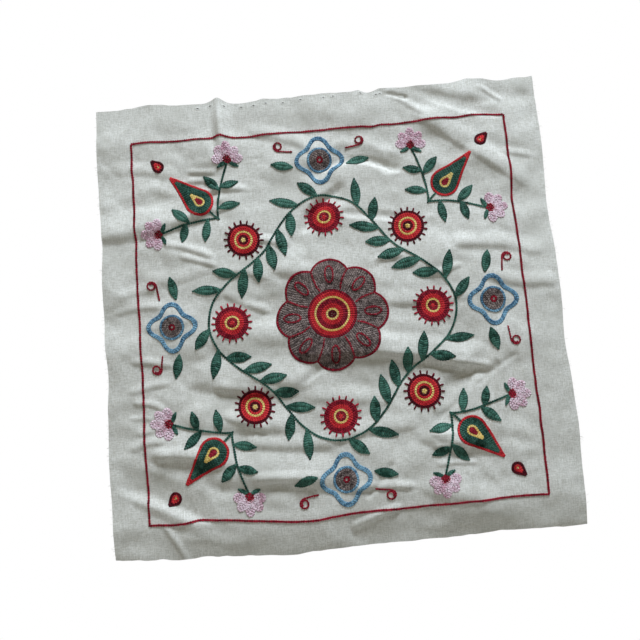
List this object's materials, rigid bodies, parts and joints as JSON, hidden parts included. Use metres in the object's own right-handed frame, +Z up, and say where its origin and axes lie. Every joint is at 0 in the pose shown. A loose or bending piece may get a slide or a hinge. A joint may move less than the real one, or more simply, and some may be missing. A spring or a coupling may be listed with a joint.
{
  "type": "suzani wall hanging",
  "caption": "Square unlined cotton wall hanging with chain-stitch embroidery, hung by its top edge in soft horizontal folds.",
  "frame": {"origin": "the middle of the top edge, where the cloth is held", "axes": "+X across the cloth to the viewer's right, +Y into the wall behind it, +Z up; the embroidered face looks along -Y"},
  "size_m": [0.4828, 0.0176, 0.4913],
  "materials": {
    "cotton": "matte hand-loomed plain weave, undyed ivory",
    "crimson_thread": "satin embroidery thread",
    "red_thread": "satin embroidery thread",
    "yellow_thread": "satin embroidery thread",
    "green_thread": "satin embroidery thread",
    "pink_thread": "satin embroidery thread",
    "taupe_thread": "satin embroidery thread",
    "blue_thread": "satin embroidery thread"
  },
  "bodies": {
    "root": {"cloth": "cotton"}
  },
  "joints": []
}
